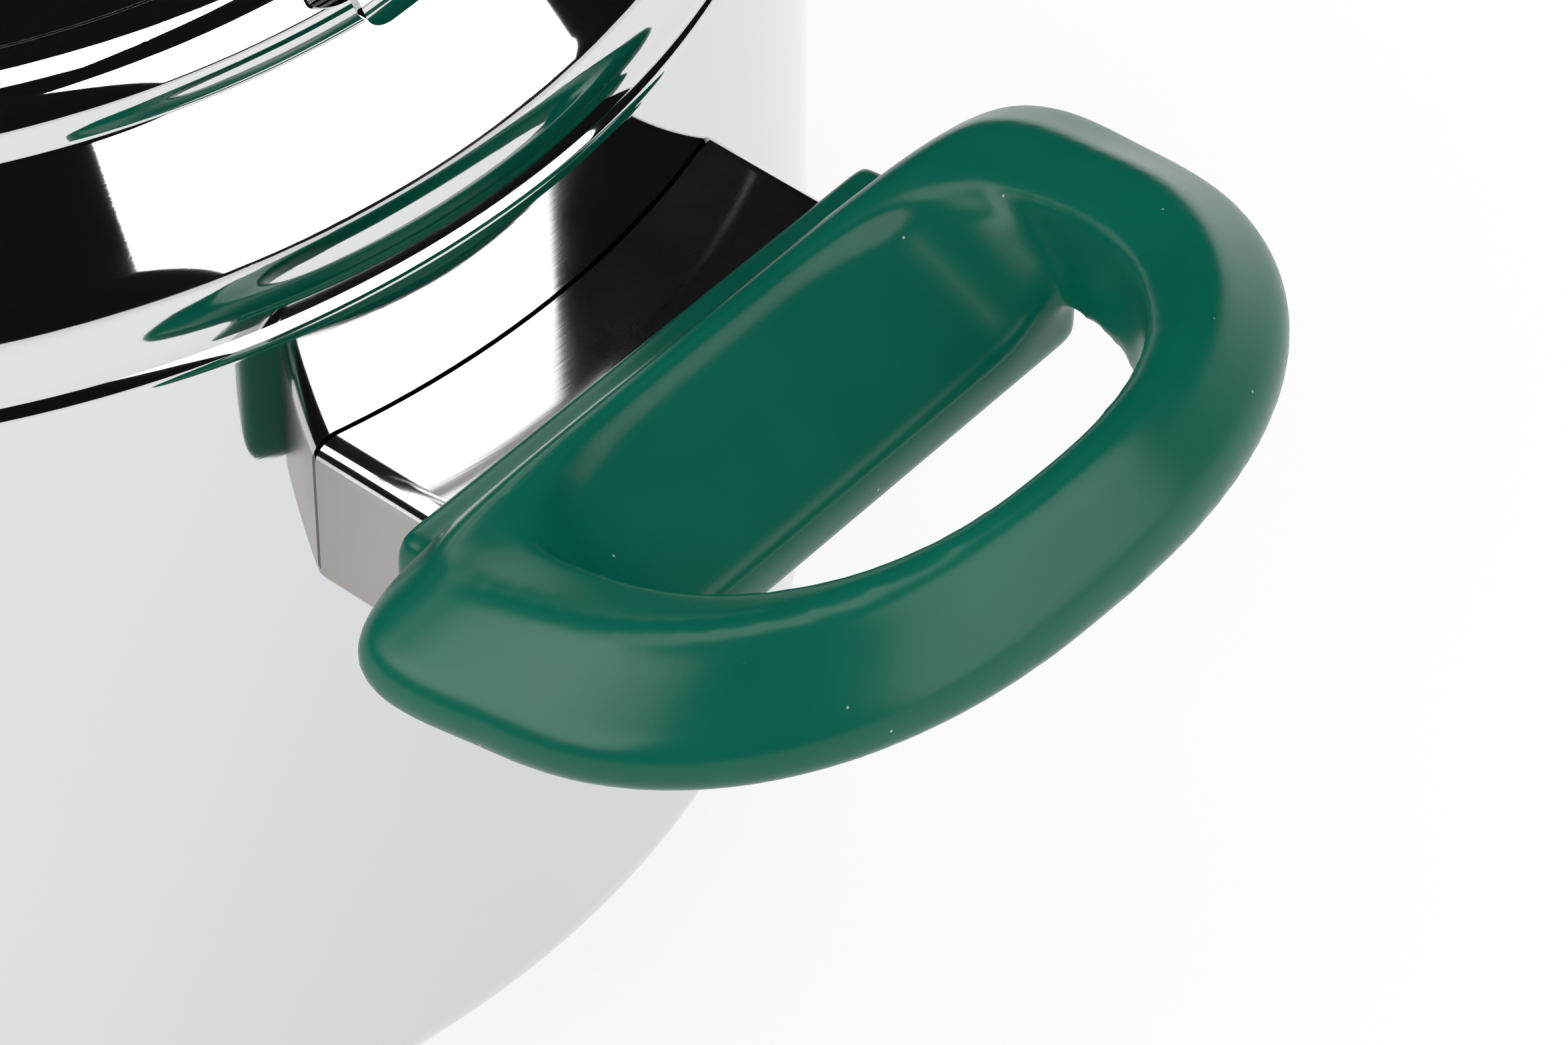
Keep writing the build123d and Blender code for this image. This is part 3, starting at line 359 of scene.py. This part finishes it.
def turned_steel(name, colour, dull):
    """Plain bright steel of screws and turned fittings: soft sheen with a fine even grain."""
    finish, tools, links, shader = new_finish(name)
    shader.inputs["Base Color"].default_value = (*colour, 1)
    shader.inputs["Metallic"].default_value = 1
    place = tools.new("ShaderNodeTexCoord").outputs["Object"]
    grain = noise(tools, links, stretch(tools, links, place, (600, 600, 4200)), scale=1, detail=3)
    cloud = noise(tools, links, place, scale=140, detail=3)
    bump = tools.new("ShaderNodeBump")
    bump.inputs["Strength"].default_value = 0.06
    bump.inputs["Distance"].default_value = 0.0001
    links.new(grain, bump.inputs["Height"])
    links.new(bump.outputs["Normal"], shader.inputs["Normal"])
    links.new(map_value(tools, links, cloud, 0.3, 0.7, dull * 0.75, dull * 1.25), shader.inputs["Roughness"])
    return finish


screw_steel = turned_steel("screw_steel", (0.58, 0.58, 0.59), dull=0.26)
dress("helper_screw", screw_steel)
dress("pot_handle_screw", screw_steel)


# Helper handle: one moulding of deep green satin plastic, screwed to the front bracket, with a thumb rest
# inside the loop and soft edges all over. The CAD shape is remeshed and eased so that every edge is round.
def satin_plastic(name, colour, bright, dull, specks):
    """Moulded satin plastic: faint drift in colour and sheen, very fine grain, and a little pale dust."""
    finish, tools, links, shader = new_finish(name)
    shader.inputs["Specular IOR Level"].default_value = 0.3
    place = tools.new("ShaderNodeTexCoord").outputs["Object"]
    drift = noise(tools, links, place, scale=38, detail=3)
    dust = tools.new("ShaderNodeTexVoronoi")
    dust.inputs["Scale"].default_value = 340
    links.new(place, dust.inputs["Vector"])
    near = map_value(tools, links, dust.outputs["Distance"], 0.07, 0.03, 0, 1)
    split = tools.new("ShaderNodeSeparateColor")
    links.new(dust.outputs["Color"], split.inputs[0])
    chosen = map_value(tools, links, split.outputs["Red"], 0.86, 0.87, 0, specks)
    speck = tools.new("ShaderNodeMath")
    speck.operation = "MULTIPLY"
    links.new(near, speck.inputs[0])
    links.new(chosen, speck.inputs[1])
    shade = tools.new("ShaderNodeMix")
    shade.data_type = "RGBA"
    shade.inputs["A"].default_value = (*[0.9 * part for part in colour], 1)
    shade.inputs["B"].default_value = (*[1.1 * part for part in colour], 1)
    links.new(map_value(tools, links, drift, 0.3, 0.7, 0, 1), shade.inputs["Factor"])
    dusty = tools.new("ShaderNodeMix")
    dusty.data_type = "RGBA"
    dusty.inputs["B"].default_value = (0.42, 0.47, 0.42, 1)
    links.new(speck.outputs[0], dusty.inputs["Factor"])
    links.new(shade.outputs["Result"], dusty.inputs["A"])
    links.new(dusty.outputs["Result"], shader.inputs["Base Color"])
    links.new(map_value(tools, links, drift, 0.3, 0.7, bright, dull), shader.inputs["Roughness"])
    grain = noise(tools, links, place, scale=2600, detail=2)
    bump = tools.new("ShaderNodeBump")
    bump.inputs["Strength"].default_value = 0.05
    bump.inputs["Distance"].default_value = 0.0001
    links.new(grain, bump.inputs["Height"])
    links.new(bump.outputs["Normal"], shader.inputs["Normal"])
    return finish


green_plastic = satin_plastic("green_plastic", (0.0, 0.086, 0.054), bright=0.22, dull=0.28, specks=0.7)


def soften(name, node, voxel, rounds):
    """Copy a CAD moulding, remesh it evenly and ease its edges."""
    moulding = nodes[node].copy()
    moulding.data = nodes[node].data.copy()
    moulding.name = name
    moulding.data.materials.clear()
    scene.collection.objects.link(moulding)
    bpy.ops.object.select_all(action="DESELECT")
    moulding.select_set(True)
    bpy.context.view_layer.objects.active = moulding
    bpy.ops.object.mode_set(mode="EDIT")
    bpy.ops.mesh.select_all(action="SELECT")
    bpy.ops.mesh.remove_doubles(threshold=1e-6)
    bpy.ops.object.mode_set(mode="OBJECT")
    bpy.ops.object.modifier_add(type="REMESH")
    moulding.modifiers[-1].mode = "VOXEL"
    moulding.modifiers[-1].voxel_size = voxel
    bpy.ops.object.modifier_apply(modifier=moulding.modifiers[-1].name)
    bpy.ops.object.modifier_add(type="SMOOTH")
    moulding.modifiers[-1].factor = 0.5
    moulding.modifiers[-1].iterations = rounds
    bpy.ops.object.modifier_apply(modifier=moulding.modifiers[-1].name)
    bpy.ops.object.shade_smooth()
    return moulding


loop_handle = soften("loop_handle", "helper_handle", voxel=0.0007, rounds=26)
loop_handle.data.materials.append(green_plastic)
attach(loop_handle, "pot")
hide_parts("helper_handle")

# Long handle of the pot: a moulded grip of the same green plastic on the rear bracket, with a steel catch
# let into its top for the bolt of the lid lock.
dress("pot_handle", green_plastic)
catch_steel = turned_steel("catch_steel", (0.52, 0.52, 0.53), dull=0.3)
dress("lock_catch", catch_steel)

# Sealing ring: pale grey silicone of a C-shaped section, pressed into the skirt of the lid with its lip on
# the rim of the pot.
seal_low, seal_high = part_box("gasket")
seal_width, seal_wall, seal_side = 0.0068, 0.0015, 0.0024
seal_slope_run, seal_hollow_run = 0.0042, 0.005
seal_outer, seal_inner = seal_high[0], seal_high[0] - seal_width
seal_bottom, seal_top = seal_low[2], seal_high[2]
seam = (seal_inner + 2 * seal_wall, seal_bottom)
sealing_ring = turn_outline(
    "sealing_ring",
    [
        seam,
        (seal_outer, seal_bottom),
        (seal_outer, seal_bottom + seal_side),
        (seal_outer - seal_slope_run, seal_top),
        (seal_inner, seal_top),
        (seal_inner, seal_top - seal_wall),
        (seal_outer - seal_hollow_run, seal_top - seal_wall),
        (seal_outer - seal_wall, seal_bottom + seal_wall),
        (seal_inner, seal_bottom + seal_wall),
        (seal_inner, seal_bottom),
        seam,
    ],
    [0.0006, 0.0008, 0.0006, 0.0005, 0.0005, 0.0003, 0.0003, 0.0005, 0.0005],
    arc_points=4,
)
smooth(sealing_ring, 35)


def rubber(name, colour):
    """Soft silicone: dull, slightly mottled and fine-grained."""
    finish, tools, links, shader = new_finish(name)
    place = tools.new("ShaderNodeTexCoord").outputs["Object"]
    mottle = noise(tools, links, place, scale=130, detail=4)
    shade = tools.new("ShaderNodeMix")
    shade.data_type = "RGBA"
    shade.inputs["A"].default_value = (*[0.88 * part for part in colour], 1)
    shade.inputs["B"].default_value = (*[1.08 * part for part in colour], 1)
    links.new(mottle, shade.inputs["Factor"])
    links.new(shade.outputs["Result"], shader.inputs["Base Color"])
    links.new(map_value(tools, links, mottle, 0.3, 0.7, 0.5, 0.65), shader.inputs["Roughness"])
    bump = tools.new("ShaderNodeBump")
    bump.inputs["Strength"].default_value = 0.08
    bump.inputs["Distance"].default_value = 0.0001
    links.new(noise(tools, links, place, scale=1800, detail=2), bump.inputs["Height"])
    links.new(bump.outputs["Normal"], shader.inputs["Normal"])
    return finish


pale_silicone = rubber("pale_silicone", (0.55, 0.55, 0.53))
sealing_ring.data.materials.append(pale_silicone)
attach(sealing_ring, "seal")
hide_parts("gasket")

# Lid: one pressed and spun sheet of polished steel: a skirt rolled in at its foot, a leaning shoulder, a
# rounded step and a panel sunk a little inside a narrow plateau. Six lugs reach in under those of the pot.
skirt_foot, skirt_corner = (0.111511, 0.12475), (0.113208, 0.131084)
step_radius, step_foot_height = 0.1004, 0.146348
plateau_radius, plateau_height = 0.0927, 0.153998
panel_radius, panel_height = 0.091, 0.152498
skirt_round, crease_round, plateau_round = 0.012, 0.0012, 0.0065
lid_sheet = 0.001
lid_lug_tip, lid_lug_root = 0.1051, 0.1113
lid_lug_bottom, lid_lug_top = 0.1258, 0.1273
lid = turn_outline(
    "lid",
    [
        skirt_foot,
        skirt_corner,
        (step_radius, step_foot_height),
        (step_radius, plateau_height),
        (plateau_radius, plateau_height),
        (panel_radius, panel_height),
        (0, panel_height),
    ],
    [skirt_round, crease_round, plateau_round, crease_round, crease_round],
    arc_points=18,
)
give_sheet(lid, lid_sheet)
join(lid, bayonet_lugs("lid_lugs", lid_lug_tip, lid_lug_root, lid_lug_bottom, lid_lug_top, first=30))
lid.data.materials.append(mirror_steel)
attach(lid, "lid")
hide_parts("lid_shell")

# Locating tab: a strip of the same steel, spot-welded on the plateau of the lid and bent down over the step
# above the helper handle, where it shows how to set the lid on.
dress("locating_tab", mirror_steel)

# Lid handle: a green moulding screwed to a flat steel bar that is welded across the edge of the lid, with a
# cover plate screwed on underneath that closes in the lock.
dress("lid_bracket", satin_steel)
dress("lid_handle", green_plastic)
dress("lid_handle_cover", green_plastic)
dress("lid_handle_screws", screw_steel)
dress("cover_screws", screw_steel)


# Lid lock: a thumb slider of black plastic on top of the handle drives a steel bolt towards the catch on
# the pot handle, against a coil spring round the bolt.
def coil_spring(name, wire, radius, length, turns):
    """Coil of round wire standing on the origin along +Z."""
    bpy.ops.object.select_all(action="DESELECT")
    bpy.ops.mesh.primitive_circle_add(
        vertices=10, radius=wire / 2, location=(radius - wire / 2, 0, wire / 2), rotation=(math.pi / 2, 0, 0)
    )
    coil = bpy.context.object
    coil.name = name
    bpy.ops.object.transform_apply(location=True, rotation=True, scale=True)
    bpy.ops.object.modifier_add(type="SCREW")
    twist = coil.modifiers[-1]
    twist.axis = "Z"
    twist.iterations = turns
    twist.screw_offset = (length - wire) / turns
    twist.steps = 24
    twist.render_steps = 24
    bpy.ops.object.modifier_apply(modifier=twist.name)
    bpy.ops.object.mode_set(mode="EDIT")
    bpy.ops.mesh.select_all(action="SELECT")
    bpy.ops.mesh.remove_doubles(threshold=1e-6)
    bpy.ops.mesh.select_all(action="DESELECT")
    bpy.ops.mesh.select_non_manifold()
    bpy.ops.mesh.edge_face_add()
    bpy.ops.mesh.select_all(action="SELECT")
    bpy.ops.mesh.normals_make_consistent(inside=False)
    bpy.ops.object.mode_set(mode="OBJECT")
    bpy.ops.object.shade_smooth_by_angle(angle=math.radians(50))
    return coil


black_plastic = satin_plastic("black_plastic", (0.014, 0.014, 0.015), bright=0.34, dull=0.44, specks=0.3)
bolt_steel = turned_steel("bolt_steel", (0.6, 0.6, 0.61), dull=0.2)
spring_steel = turned_steel("spring_steel", (0.5, 0.5, 0.52), dull=0.3)
dress("lock_slider", black_plastic)
dress("lock_bolt", bolt_steel)

lock_low, lock_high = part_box("lock_spring")
lock_middle = (Vector(lock_low) + Vector(lock_high)) / 2
lock_inward = Vector((math.cos(math.radians(30)), math.sin(math.radians(30)), 0))
lock_length = 0.016
lock_front = lock_middle + lock_inward * lock_length / 2
lock_radius = (lock_high[2] - lock_low[2]) / 2
lock_coil = coil_spring("lock_coil", wire=0.0007, radius=lock_radius, length=lock_length, turns=9)
lock_coil.rotation_euler = (-lock_inward).to_track_quat("Z", "Y").to_euler()
lock_coil.location = lock_front
bpy.ops.object.transform_apply(location=True, rotation=True, scale=True)
lock_coil.data.materials.append(spring_steel)
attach(lock_coil, "lid")
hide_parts("lock_spring")
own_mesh(lock_coil)

# Pressure valve: a turned bush through the lid, held by a nut on a seal underneath, with a plunger whose rod
# shows the pressure, a coil spring, a screwed cap and a fluted black knob that turns round it.
fitting_steel = turned_steel("fitting_steel", (0.66, 0.66, 0.67), dull=0.17)
black_rubber = rubber("black_rubber", (0.03, 0.03, 0.032))


def upright_spring(name, node, wire, turns):
    """Coil in the space of an upright CAD spring, standing on the bottom of that space."""
    low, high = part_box(node)
    middle = (Vector(low) + Vector(high)) / 2
    coil = coil_spring(name, wire, (high[0] - low[0]) / 2, high[2] - low[2], turns)
    coil.location = (middle.x, middle.y, low[2])
    bpy.ops.object.transform_apply(location=True, rotation=True, scale=True)
    coil.data.materials.append(spring_steel)
    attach(coil, "lid")
    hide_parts(node)
    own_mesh(coil)


for node in ("valve_body", "valve_nut", "valve_plunger", "valve_cap"):
    dress(node, fitting_steel)
dress("valve_seal", black_rubber)
dress("valve_dial", black_plastic)
upright_spring("valve_coil", "valve_spring", wire=0.0008, turns=4)

# Vent with its locking pin, beside the valve: a small turned steel bush held by a nut on a seal under the
# lid, with a loose pin that steam lifts.
for node in ("vent_body", "vent_nut", "vent_pin"):
    dress(node, fitting_steel)
dress("vent_seal", black_rubber)

# Safety valve, across the lid from the handle: a turned steel bush held by a nut on a seal, with a
# spring-loaded poppet under a screwed cap.
for node in ("safety_body", "safety_nut", "safety_poppet", "safety_cap"):
    dress(node, fitting_steel)
dress("safety_seal", black_rubber)
upright_spring("safety_coil", "safety_spring", wire=0.0006, turns=4)

# Studio: a white table that stays white to the camera and in reflections and keeps the shadow of the pot,
# inside a dark room that only reflections see. The sky fills in the shadows and is white to the camera.
bpy.ops.object.select_all(action="DESELECT")
bpy.ops.mesh.primitive_plane_add(size=8)
table = bpy.context.object
table.name = "table"
table_paint, table_tools, table_links, table_shader = new_finish("table_paint")
table_glow = 0.76
table_shader.inputs["Base Color"].default_value = (0.97, 0.97, 0.97, 1)
table_shader.inputs["Roughness"].default_value = 0.9
table_shader.inputs["Specular IOR Level"].default_value = 0
rays = table_tools.new("ShaderNodeLightPath")
seen = table_tools.new("ShaderNodeMath")
seen.operation = "MAXIMUM"
table_links.new(rays.outputs["Is Camera Ray"], seen.inputs[0])
table_links.new(rays.outputs["Is Glossy Ray"], seen.inputs[1])
share = table_tools.new("ShaderNodeMath")
share.operation = "MULTIPLY"
share.inputs[1].default_value = table_glow
table_links.new(seen.outputs[0], share.inputs[0])
white = table_tools.new("ShaderNodeEmission")
white.inputs["Color"].default_value = (1, 1, 1, 1)
layers = table_tools.new("ShaderNodeMixShader")
table_links.new(share.outputs[0], layers.inputs[0])
table_links.new(table_shader.outputs[0], layers.inputs[1])
table_links.new(white.outputs[0], layers.inputs[2])
table_links.new(layers.outputs[0], table_tools["Material Output"].inputs["Surface"])
table.data.materials.append(table_paint)

bpy.ops.object.select_all(action="DESELECT")
bpy.ops.mesh.primitive_uv_sphere_add(segments=48, ring_count=24, radius=3.5)
room = bpy.context.object
room.name = "dark_room"
room_cloth, room_tools, room_links, room_shader = new_finish("room_cloth")
room_shader.inputs["Base Color"].default_value = (0.012, 0.012, 0.012, 1)
room_shader.inputs["Roughness"].default_value = 1
room_shader.inputs["Specular IOR Level"].default_value = 0
room.data.materials.append(room_cloth)
room.visible_camera = False
room.visible_diffuse = False
room.visible_shadow = False
room.visible_transmission = False

studio = scene.world or bpy.data.worlds.new("studio")
scene.world = studio
studio.use_nodes = True
sky_tools, sky_links = studio.node_tree.nodes, studio.node_tree.links
sky = sky_tools["Background"]
sky.inputs["Color"].default_value = (1, 1, 1, 1)
sky_rays = sky_tools.new("ShaderNodeLightPath")
sky_level = sky_tools.new("ShaderNodeMapRange")
sky_level.inputs["To Min"].default_value = 0.52
sky_level.inputs["To Max"].default_value = 1
sky_links.new(sky_rays.outputs["Is Camera Ray"], sky_level.inputs["Value"])
sky_links.new(sky_level.outputs["Result"], sky.inputs["Strength"])

# Lamps: a softbox on each side of the camera and a long one overhead, as broad soft sources.
azimuth, elevation = math.radians(40.326), math.radians(45.188)
toward = Vector((math.sin(azimuth), -math.cos(azimuth), 0))
right = Vector((math.cos(azimuth), math.sin(azimuth), 0))
upward = Vector((0, 0, 1))
pot_middle = Vector((0, 0, 0.12))


def softbox(name, place, width, height, glow):
    """Rectangular lamp aimed at the pot, of an even brightness over its face."""
    bpy.ops.object.light_add(type="AREA", location=place)
    lamp = bpy.context.object
    lamp.name = name
    lamp.data.shape = "RECTANGLE"
    lamp.data.size = width
    lamp.data.size_y = height
    lamp.data.energy = glow * math.pi * width * height
    lamp.rotation_euler = (pot_middle - place).to_track_quat("-Z", "Y").to_euler()
    return lamp


def place_beside(turn, rise):
    """Place at arm's length from the pot, so many degrees round from the camera and above the pot."""
    distance = 1.3
    level_way = toward * math.cos(math.radians(turn)) + right * math.sin(math.radians(turn))
    way = level_way * math.cos(math.radians(rise)) + upward * math.sin(math.radians(rise))
    return pot_middle + distance * way


softbox("right_softbox", place_beside(turn=66, rise=24), width=1.05, height=1.1, glow=2.4)
softbox("left_softbox", place_beside(turn=-66, rise=38), width=1.6, height=0.6, glow=3.6)
top_lamp = softbox("top_softbox", right * -0.33 + upward * 1.42, width=1.7, height=0.68, glow=2.4)
top_lamp.rotation_euler = (0, 0, azimuth)

# Camera: long lens, looking down on the front of the pot from the right of the helper handle.
lens = bpy.data.cameras.new("camera")
lens.sensor_width = 36
lens.lens = 183.67
camera = bpy.data.objects.new("camera", lens)
scene.collection.objects.link(camera)
camera.location = (0.5136, -0.4360, 0.6709)
sight = -toward * math.cos(elevation) - upward * math.sin(elevation)
camera.rotation_euler = sight.to_track_quat("-Z", "Y").to_euler()
scene.camera = camera
